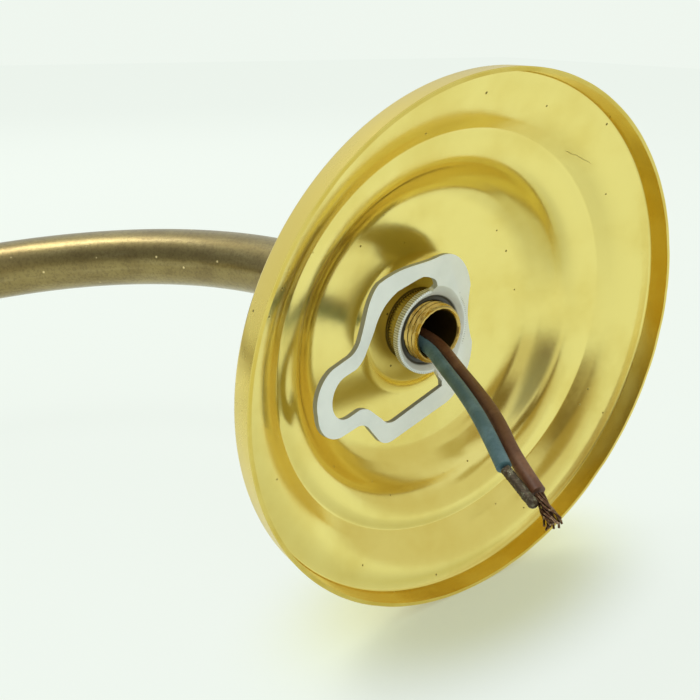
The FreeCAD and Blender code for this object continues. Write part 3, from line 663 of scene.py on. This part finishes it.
# Knuckle: two alike brass halves that lie cheek to cheek on the arm's top nipple, with the lamp's
# tilt between them. A thumb screw with a knurled head clamps them over a washer.
z_axis = Vector((0, 0, 1))
knuckle_ease = 0.0003
pivot_z = (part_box("knuckle_base")[0].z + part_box("knuckle_head")[1].z) / 2
pivot = Vector((0, head_y, pivot_z))
upright_centre = Vector((0, head_y, 0))
thumb_low, thumb_high = [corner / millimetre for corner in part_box("thumb_screw")]
thumb_radius = thumb_high.z - pivot_z / millimetre
thumb_seat = -7.75
thumb_face = 4.4
thumb_step = (4.8, 0.35)
thumb_knurls = 24
thumb_knurl_depth = 0.0003
shank_radius = 2.0
washer_low, washer_high = [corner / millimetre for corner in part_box("knuckle_washer")]
washer_radius = washer_high.z - pivot_z / millimetre
washer_bore = shank_radius + 0.06
washer_sides = 96


def eased_copy(name, node, material, radius, sharp_angle=40, segments=2, sharp=30):
    """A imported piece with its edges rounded, in place of the plain one."""
    bm = joined_copy(node)
    eased(bm, sharp_angle, radius, segments)
    return placed(bm, name, node, material, sharp)


for node in ("arm_top_nipple", "head_nipple"):
    low, high = [corner.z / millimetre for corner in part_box(node)]
    placed(threaded_tube(z_axis, upright_centre, low, high), "threaded_" + node, node,
           thread_finish)
for node in ("knuckle_base", "knuckle_head"):
    eased_copy("turned_" + node, node, patina_finish, knuckle_ease)
washer = turned_piece(x_axis, pivot, [
    (washer_bore, washer_low.x, 0.1), (washer_radius, washer_low.x, 0.2),
    (washer_radius, washer_high.x, 0.1), (washer_bore, washer_high.x, 0)], washer_sides)
placed(washer, "plain_washer", "knuckle_washer", patina_finish)
thumb_screw = turned_piece(x_axis, pivot, [
    (0, thumb_low.x, 0), (thumb_face, thumb_low.x, 0.3), (thumb_step[0], thumb_low.x + thumb_step[1], 0.2),
    (thumb_radius, thumb_low.x + thumb_step[1], 0.5), (thumb_radius, thumb_seat, 0.4),
    (shank_radius, thumb_seat, 0), (shank_radius, thumb_high.x, 0.3), (0, thumb_high.x, 0)],
    steps_per_knurl * thumb_knurls)
knurled(thumb_screw, pivot, x_axis, (thumb_radius - 0.45) * millimetre, thumb_knurls, thumb_knurl_depth)
placed(thumb_screw, "knurled_thumb_screw", "thumb_screw", patina_finish, 30)

# Lampholder cap: a spun brass dome with a tapped collar. It screws on the knuckle's nipple, and a
# slotted steel set screw in its collar stops it from turning.
holder_finish = brass("holder_brass", bright=(0.80, 0.68, 0.26), dull=(0.46, 0.34, 0.11), roughness=0.22,
                      haze=0.12, wear=0.6)
screw_finish = zinc("screw_steel")
cap_ease = 0.0002
set_screw_ease = 0.0001
eased_copy("spun_holder_cap", "holder_cap", holder_finish, cap_ease)
eased_copy("slotted_set_screw", "cap_set_screw", screw_finish, set_screw_ease,
           sharp_angle=50, sharp=38)

# Lampholder shell: a brass tube with a rolled thread outside, a seat flange that carries a shade
# and a lip turned in over the lining. The switch shaft passes through a hole in its front.
shell_low, shell_high = [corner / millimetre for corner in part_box("holder_shell")]
shell_radius = 14.0
shell_sheet = 0.6
shell_sides = 192
seat_height = 22.0
seat_sheet = 1.0
lip_reach = 0.7
plain_above_seat = 5.0
shade_pitch = 1.5
shade_turns = 6
shade_thread = 0.0003
shade_rows = 10
seat_top = shell_low.z + seat_height
seat_bottom = seat_top - seat_sheet
thread_low = seat_top + plain_above_seat
thread_high = thread_low + shade_turns * shade_pitch
shaft_low, shaft_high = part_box("switch_shaft")
switch_z = (shaft_low.z + shaft_high.z) / 2
shaft_hole = 0.002
drill_start = 0.008
drill_depth = 0.010


def holder_shell():
    """The shell with its rounded outer thread, its seat flange and the lip at its mouth."""
    rows = shade_turns * shade_rows
    rise = (thread_high - thread_low) / rows
    inner = shell_radius - shell_sheet
    lip = inner - lip_reach
    corners = [(inner, shell_low.z, 0), (inner, shell_high.z - shell_sheet, 0),
               (lip, shell_high.z - shell_sheet, 0.2), (lip, shell_high.z, 0.2),
               (shell_radius, shell_high.z, 0.5)]
    corners += [(shell_radius, thread_high - rise * row, 0) for row in range(rows + 1)]
    corners += [(shell_radius, seat_top, 0.2), (shell_high.x, seat_top, 0.25),
                (shell_high.x, seat_bottom, 0.25), (shell_radius, seat_bottom, 0.3),
                (shell_radius, shell_low.z, 0.2)]
    bm = turned_piece(z_axis, upright_centre, corners, shell_sides)

    def groove(radius, turn, along):
        place = along / millimetre
        inside = min(1.0, max(0.0, min(place - thread_low, thread_high - place)))
        wave = 0.5 - 0.5 * math.cos(2 * math.pi * (place / shade_pitch - turn))
        return shade_thread * wave * inside if radius > (shell_radius - 0.1) * millimetre else 0.0

    grooved(bm, upright_centre, z_axis, groove)
    return bm


def pierced(piece, start, way, radius):
    """Cuts a round hole through a wall."""
    cutter_mesh = bpy.data.meshes.new("cutter")
    drill = bmesh.new()
    turn = way.to_track_quat("Z", "Y").to_matrix().to_4x4()
    bmesh.ops.create_cone(drill, cap_ends=True, segments=48, radius1=radius, radius2=radius, depth=way.length,
                          matrix=Matrix.Translation(start + way / 2) @ turn)
    drill.to_mesh(cutter_mesh)
    drill.free()
    cutter = bpy.data.objects.new("cutter", cutter_mesh)
    bpy.context.scene.collection.objects.link(cutter)
    cut = piece.modifiers.new("hole", "BOOLEAN")
    cut.operation = "DIFFERENCE"
    cut.solver = "EXACT"
    cut.object = cutter
    depsgraph = bpy.context.evaluated_depsgraph_get()
    holed = bpy.data.meshes.new_from_object(piece.evaluated_get(depsgraph))
    piece.modifiers.clear()
    piece.data = holed
    bpy.data.objects.remove(cutter)
    bpy.data.meshes.remove(cutter_mesh)


shell = placed(holder_shell(), "threaded_holder_shell", "holder_shell", holder_finish, 30)
pierced(shell, Vector((0, head_y - drill_start, switch_z)), Vector((0, -drill_depth, 0)), shaft_hole)

# Lining and socket: a sleeve of pressed card keeps the brass shell away from the live parts. The
# glazed ceramic socket stands inside it, with a round cavity for the lamp's cap.
liner_ease = 0.00015
socket_ease = 0.00025


def smooth_solid(name, light, dark, roughness, scale, depth):
    """Card, ceramic or moulding: two tones in soft clouds, with a grain of its own scale."""
    made, place = new_material(name)
    cloud = noise_at(place, 120.0, 3.0)
    grain = noise_at(place, scale, 3.0)
    shade = mixed(smooth_step(cloud * 0.6 + grain * 0.4, 0.38, 0.62), light, dark)
    gloss = roughness + 0.15 * (grain - 0.5)
    return shaded(made, place, {"Base Color": shade, "Roughness": gloss}, grain, depth)


card = smooth_solid("liner_card", (0.42, 0.31, 0.19), (0.30, 0.21, 0.12), 0.7, 900.0, 0.00005)
ceramic = smooth_solid("socket_ceramic", (0.84, 0.83, 0.78), (0.78, 0.76, 0.69), 0.2, 500.0, 0.00001)
eased_copy("rolled_insulating_liner", "insulating_liner", card, liner_ease)
eased_copy("glazed_socket_body", "socket_body", ceramic, socket_ease)

# Lamp shell and contacts: thin brass that carries the current. The shell has the lamp's own
# rounded thread rolled in it. The strips run to it and to the middle of the lamp's cap.
contact_finish = brass("contact_brass", bright=(0.86, 0.74, 0.30), dull=(0.60, 0.46, 0.15), roughness=0.2,
                       haze=0.1, wear=0.5)
rolled_low, rolled_high = [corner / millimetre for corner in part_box("lamp_shell")]
rolled_radius = rolled_high.x
rolled_sheet = 0.5
lamp_pitch = 2.82
lamp_thread = 0.00035
lamp_rows = 12
rolled_sides = 96
contact_ease = 0.00008
terminal_ease = 0.00015


def rolled_shell():
    """Thin sheet whose inner and outer skins both follow the lamp's rounded thread."""
    rows = round((rolled_high.z - rolled_low.z) / lamp_pitch * lamp_rows)
    rise = (rolled_high.z - rolled_low.z) / rows
    inside = [(rolled_radius - rolled_sheet, rolled_low.z + rise * row, 0) for row in range(rows + 1)]
    outside = [(rolled_radius, rolled_high.z - rise * row, 0) for row in range(rows + 1)]
    bm = turned_piece(z_axis, upright_centre, inside + outside, rolled_sides)

    def wave(radius, turn, along):
        return lamp_thread * (0.5 - 0.5 * math.cos(2 * math.pi * (along / millimetre / lamp_pitch - turn)))

    grooved(bm, upright_centre, z_axis, wave)
    return bm


placed(rolled_shell(), "rolled_lamp_shell", "lamp_shell", contact_finish)
for node in ("centre_contact", "side_contact", "switch_blade"):
    eased_copy("bent_" + node, node, contact_finish, contact_ease)
eased_copy("slotted_terminal_screws", "terminal_screws", screw_finish, terminal_ease)

# Shade ring: a brass ring that screws down the shell to clamp a shade on the seat. It has finger
# notches round its flange.
ring_ease = 0.0002
eased_copy("notched_shade_ring", "shade_ring", holder_finish, ring_ease)

# Turn switch: a dark moulded key on a steel shaft, which turns an insulating cam between the
# contact strips. The key's edges are well rounded for the fingers.
key_ease = 0.0007
cam_ease = 0.0002
shaft_radius = (shaft_high.x - shaft_low.x) / 2 / millimetre
shaft_sides = 64
key_dark = smooth_solid("key_moulding", (0.050, 0.036, 0.028), (0.030, 0.022, 0.018), 0.28, 700.0, 0.00002)
cam_dark = smooth_solid("rotor_moulding", (0.12, 0.09, 0.07), (0.08, 0.06, 0.05), 0.5, 700.0, 0.00002)
eased_copy("moulded_switch_key", "switch_key", key_dark, key_ease, segments=4)
eased_copy("switch_cam", "switch_rotor", cam_dark, cam_ease)
shaft = turned_piece(y_axis, Vector((0, 0, switch_z)), [
    (0, shaft_low.y / millimetre, 0), (shaft_radius, shaft_low.y / millimetre, 0.3),
    (shaft_radius, shaft_high.y / millimetre, 0.3), (0, shaft_high.y / millimetre, 0)], shaft_sides)
placed(shaft, "turned_switch_shaft", "switch_shaft", screw_finish)

# Leads: one blue and one brown core, each a soft sleeve over copper. They run through the arm and
# the head, and their free ends come out of the nipple side by side and reach past the rim.
core_radius = 0.001
blue_route = [(1.5, -18.0, 1.85), (1.5, -13.2, 1.85), (1.8, -6.0, 4.65), (1.25, 3.2, 8.55),
              (1.2, 11.3, 12.45), (2.57, 17.53, 15.44)]
brown_route = [(1.6, -18.0, -0.35), (1.6, -13.4, -0.35), (2.1, -5.8, 2.55), (1.9, 3.2, 6.1),
               (1.95, 10.4, 9.3), (2.75, 16.4, 12.7), (4.45, 22.04, 14.25)]


def sleeve(name, plain, rubbed):
    """Soft plastic sleeve: a rubbed bloom in patches, small scuffs and a slightly uneven skin."""
    made, place = new_material(name)
    cloud = noise_at(place, 260.0, 4.0)
    grain = noise_at(place, 2200.0, 3.0)
    scuff = pits(place, 700.0, 0.2)
    colour = mixed(smooth_step(cloud, 0.42, 0.7), plain, rubbed)
    colour = mixed(smooth_step(grain, 0.45, 0.75) * 0.35, colour, tuple(0.6 * c for c in plain))
    colour = mixed(scuff * 0.4, colour, tuple(min(1.0, 1.8 * c) for c in rubbed))
    gloss = 0.42 + 0.2 * (grain - 0.5) + 0.1 * cloud
    return shaded(made, place, {"Base Color": colour, "Roughness": gloss}, grain * 0.3 + cloud, 0.00006)


def round_wire(name, radius, roundness, fineness, material):
    """A curve with a round section and closed ends, which holds one wire or more."""
    curve = bpy.data.curves.new(name, "CURVE")
    curve.dimensions = "3D"
    curve.bevel_depth = radius
    curve.bevel_resolution = roundness
    curve.resolution_u = fineness
    curve.use_fill_caps = True
    curve.materials.append(material)
    return curve


def laid_along(curve, points):
    """Adds a wire that bends smoothly from the first point to the last."""
    spline = curve.splines.new("NURBS")
    spline.points.add(len(points) - 1)
    for knot, point in zip(spline.points, points):
        knot.co = (*point, 1.0)
    spline.order_u = 3
    spline.use_endpoint_u = True


def lead(name, node, route, material):
    """A free core: a smooth curve along the route's points."""
    curve = round_wire(name, core_radius, 8, 16, material)
    laid_along(curve, [Vector(place) * millimetre for place in route])
    piece = dressed(name, curve, node)


blue_sleeve = sleeve("blue_sleeve", (0.085, 0.17, 0.20), (0.16, 0.27, 0.31))
brown_sleeve = sleeve("brown_sleeve", (0.15, 0.055, 0.022), (0.23, 0.10, 0.045))
for node in ("blue_core_in_arm", "blue_core_in_head", "brown_core_in_arm", "brown_core_in_head"):
    colour = "blue" if node.startswith("blue") else "brown"
    piece = frame["nodes"][node]
    piece.data.materials.clear()
    piece.data.materials.append(blue_sleeve if colour == "blue" else brown_sleeve)

# Bare ends: the blue core's copper is tinned to a dark twisted bar with a round tip. The brown
# core's strands are loose: they twist together and splay at their tips.
conductor_radius = 0.7
conductor_strands = 9
conductor_lay = 4.0
conductor_rows = 36
conductor_sides = 108
valley_depth = 0.00010
lump_depth = 0.00005
tip_angles = (0.3, 0.6, 0.9, 1.2)
strand_radius = 0.00014
strand_count = 15
strand_layers = (0.0, 0.00030, 0.00052)
strand_spacing = 2.4
strand_twist = 2.6
strand_wave = 0.00022
strand_splay = 0.00012
strand_knots = 12
bare_gap = 0.0003
blue_tip = Vector((4.6, 22.9, 16.1)) * millimetre
brown_tip = Vector((6.4, 26.1, 15.8)) * millimetre


def bare_metal(name, dark, bright, scale):
    """Oxidised wire: dark skin with bright patches where the metal shows."""
    made, place = new_material(name)
    patch = smooth_step(noise_at(place, scale, 4.0, 0.65), 0.5, 0.66)
    colour = mixed(patch, dark, bright)
    gloss = 0.42 - 0.16 * patch
    return shaded(made, place, {"Base Color": colour, "Metallic": 0.9, "Roughness": gloss}, patch, 0.00003)


def tinned_bar(start, tip):
    """A bar of soldered strands that wind round each other."""
    way = tip - start
    length = way.length / millimetre
    upright = Vector((0, 0, 0))
    corners = [(0, 0, 0)]
    corners += [(conductor_radius, length * row / conductor_rows, 0) for row in range(conductor_rows + 1)]
    corners += [(conductor_radius * math.cos(angle), length + conductor_radius * math.sin(angle), 0)
                for angle in tip_angles]
    corners.append((0, length + conductor_radius, 0))
    bm = turned_piece(z_axis, upright, corners, conductor_sides)

    def valley(radius, turn, along):
        phase = (turn + along / millimetre / conductor_lay) * conductor_strands
        lump = lump_depth * noise.noise(Vector((turn * 9, along * 1500.0, 0)))
        share = radius / (conductor_radius * millimetre)
        return valley_depth * (1 - abs(math.sin(math.pi * phase))) * share + lump

    grooved(bm, upright, z_axis, valley)
    turn = way.to_track_quat("Z", "Y").to_matrix().to_4x4()
    bmesh.ops.transform(bm, matrix=Matrix.Translation(start) @ turn, verts=bm.verts[:])
    return bm


def loose_strands(name, start, tip, material):
    """Fine wires in three layers that twist and fan out towards their uneven tips."""
    curve = round_wire(name, strand_radius, 2, 12, material)
    way = tip - start
    side = way.cross(z_axis).normalized()
    up = side.cross(way).normalized()
    for index in range(strand_count):
        layer = strand_layers[min(2, (index + 4) // 5)]
        reach = min(1.04, 0.94 + 0.16 * noise.noise(Vector((index * 3.7, 0.5, 0))))
        points = []
        for knot in range(strand_knots + 1):
            share = knot / strand_knots
            turn = strand_spacing * index + strand_twist * share
            wide = layer * (1 + 0.9 * share * share) + strand_splay * share * share
            wave = noise.noise_vector(Vector((index * 1.9, share * 2.5, 3.1))) * strand_wave * share
            aside = side * math.cos(turn) + up * math.sin(turn)
            points.append(start + way * share * reach + aside * wide + wave)
        laid_along(curve, points)
    return dressed(name, curve, "brown_strands")


blue_end = Vector(blue_route[-1]) * millimetre
brown_end = Vector(brown_route[-1]) * millimetre
blue_bare = blue_end + (blue_tip - blue_end).normalized() * bare_gap
brown_bare = brown_end + (brown_tip - brown_end).normalized() * bare_gap
tinned = bare_metal("tinned_copper", (0.10, 0.075, 0.05), (0.27, 0.25, 0.17), 1500.0)
copper = bare_metal("bare_copper", (0.13, 0.065, 0.035), (0.50, 0.33, 0.20), 1300.0)
conductor = placed(tinned_bar(blue_bare, blue_tip), "twisted_blue_conductor", "blue_conductor",
                   tinned, sharp=60)
strands = loose_strands("splayed_brown_strands", brown_bare, brown_tip, copper)
lead("blue_free_lead", "blue_lead", blue_route, blue_sleeve)
lead("brown_free_lead", "brown_lead", brown_route, brown_sleeve)

# Floor: the lamp lies on a pale sheet, which its canopy's rim and its shade ring touch. The sheet
# takes the lamp's shadow near it and fades into the backdrop further away. Near the rim its paper
# is painted warmer, a painted reflection of the brass's light. The brass mirrors it a little paler
# than it is lit.
floor_tilt = math.radians(7.3)
floor_normal = Vector((-math.cos(floor_tilt), 0, -math.sin(floor_tilt)))
floor_centre = floor_normal * -canopy_rim * millimetre
floor_size = 1.6
paper = (0.865, 0.925, 0.86)
painted_bounce_paper = (0.86, 0.88, 0.54)
contact = (canopy_rim * millimetre, -0.002, 0.005)
spread = (0.0, 1.0, 0.53)
fade_near = 0.009
fade_far = 0.026
far_share = 0.1
near_share = 0.64
mirrored_share = 0.4


def pale_sheet():
    """Paper that shows the lamp's shadow from above, and nothing from behind, painted warmer near the lamp.
    """
    made, place = new_material("pale_sheet")
    behind = place.node("ShaderNodeNewGeometry", {}, {}, "Backfacing")
    away = place.vector("SUBTRACT", contact)
    away = away.vector("MULTIPLY", spread).vector("LENGTH", (0, 0, 0), "Value")
    near = smooth_step(away, fade_far, fade_near)
    # Near the contact the paper is painted warmer: painted light bounced from the brass.
    sheet = place.node("ShaderNodeBsdfDiffuse", {}, {"Color": mixed(near, paper, painted_bounce_paper)})
    glow = place.node("ShaderNodeEmission", {}, {"Color": (*paper, 1.0), "Strength": 1.0})
    seen = place.node("ShaderNodeLightPath", {}, {}, "Is Camera Ray")
    mirrored = place.node("ShaderNodeLightPath", {}, {}, "Is Glossy Ray")
    pale = seen * (1 - far_share - near_share * near) + mirrored * mirrored_share
    lit = place.node("ShaderNodeMixShader", {}, {0: pale, 1: sheet, 2: glow})
    clear = place.node("ShaderNodeBsdfTransparent", {}, {})
    both = place.node("ShaderNodeMixShader", {}, {0: behind, 1: lit, 2: clear})
    place.node("ShaderNodeOutputMaterial", {}, {"Surface": both})
    return made


def flat_board(name, centre, normal, up, width, height, material):
    """A rectangular board of the studio, which isn't part of the lamp."""
    bm = bmesh.new()
    bmesh.ops.create_grid(bm, x_segments=1, y_segments=1, size=0.5)
    side = up.cross(normal).normalized()
    turn = Matrix((side * width, normal.cross(side) * height, normal)).transposed().to_4x4()
    bmesh.ops.transform(bm, matrix=Matrix.Translation(centre) @ turn, verts=bm.verts[:])
    board = bpy.data.objects.new(name, mesh_from(bm, name, material))
    bpy.context.scene.collection.objects.link(board)
    return board


flat_board("floor", floor_centre, floor_normal, y_axis, 2 * floor_size, 2 * floor_size, pale_sheet())

# Light: one soft lamp above and behind the piece, one above the lens, and a pale room that is
# brighter above and to the left. Dark boards beside and above the lens, each given by its lower
# left and upper right corners there and its tone, give the brass its dark bands.
room_dim = (0.68, 0.69, 0.56)
room_bright = (0.82, 0.89, 0.91)
bright_way = (camera_up * 0.85 - camera_right * 0.45 - camera_ahead * 0.2).normalized()
band_share = 0.62
band_level = 0.14
band_fade = (0.62, 0.25)
band_side = (-0.02, -0.25)
band_depth = (0.05, -0.2)
board_setback = 0.01
dark_tone = (0.17, 0.125, 0.04)
middle_tone = (0.36, 0.29, 0.10)
light_tone = (0.46, 0.42, 0.22)
boards = [
    ((0.034, -0.008), (0.092, 0.045), dark_tone), ((0.060, -0.066), (0.092, -0.008), dark_tone),
    ((0.092, -0.055), (0.172, 0.002), middle_tone), ((0.050, 0.045), (0.125, 0.100), middle_tone),
    ((0.125, 0.072), (0.220, 0.170), light_tone),
]

world = bpy.data.worlds.new("room")
world.use_nodes = True
world.node_tree.nodes.clear()
direction = Value(world.node_tree).node("ShaderNodeTexCoord", {}, {}, "Generated")
is_seen = direction.node("ShaderNodeLightPath", {}, {}, "Is Camera Ray")
above = smooth_step(direction.vector("DOT_PRODUCT", bright_way, "Value"), -0.1, 0.85)
backdrop = direction.node("ShaderNodeBackground", {}, {"Color": (*paper, 1.0), "Strength": 1.0})
level = direction.vector("DOT_PRODUCT", camera_up, "Value")
band = smooth_step(abs(level - band_level), *band_fade)
band = band * smooth_step(direction.vector("DOT_PRODUCT", camera_right, "Value"), *band_side)
band = band * smooth_step(direction.vector("DOT_PRODUCT", camera_ahead, "Value"), *band_depth)
room = {"Color": mixed(above, room_dim, room_bright), "Strength": 1 - band_share * band}
pale_room = direction.node("ShaderNodeBackground", {}, room)
both_rooms = direction.node("ShaderNodeMixShader", {}, {0: is_seen, 1: pale_room, 2: backdrop})
direction.node("ShaderNodeOutputWorld", {}, {"Surface": both_rooms})
bpy.context.scene.world = world

for number, (low, high, tone) in enumerate(boards):
    board_material, board_place = new_material("dark_board")
    board_shader = board_place.node("ShaderNodeEmission", {}, {"Color": (*tone, 1.0)})
    board_place.node("ShaderNodeOutputMaterial", {}, {"Surface": board_shader})
    across, rise = [(a + b) / 2 for a, b in zip(low, high)]
    board_centre = camera_place + camera_right * across + camera_up * rise - camera_ahead * board_setback
    board = flat_board("dark_board_%d" % number, board_centre, camera_ahead, camera_up,
                       high[0] - low[0], high[1] - low[1], board_material)
    for ray in ("camera", "diffuse", "transmission", "shadow", "volume_scatter"):
        setattr(board, "visible_" + ray, False)


def soft_lamp(name, place, size, watts, mirrored=True):
    """A square lamp that faces the canopy's centre; polished metal mirrors it or doesn't."""
    data = bpy.data.lights.new(name, "AREA")
    data.size = size
    data.energy = watts
    lamp = bpy.data.objects.new(name, data)
    lamp.location = place
    lamp.rotation_mode = "QUATERNION"
    lamp.rotation_quaternion = (-Vector(place)).to_track_quat("-Z", "Y")
    lamp.visible_glossy = mirrored
    bpy.context.scene.collection.objects.link(lamp)


key_place = camera_up * 0.5 - camera_right * 0.2 + camera_ahead * 0.25
top_place = camera_up * 0.62 - camera_right * 0.32 - camera_ahead * 0.14
soft_lamp("key_lamp", key_place, size=0.4, watts=1.2, mirrored=False)
soft_lamp("top_lamp", top_place, size=0.22, watts=1.1)
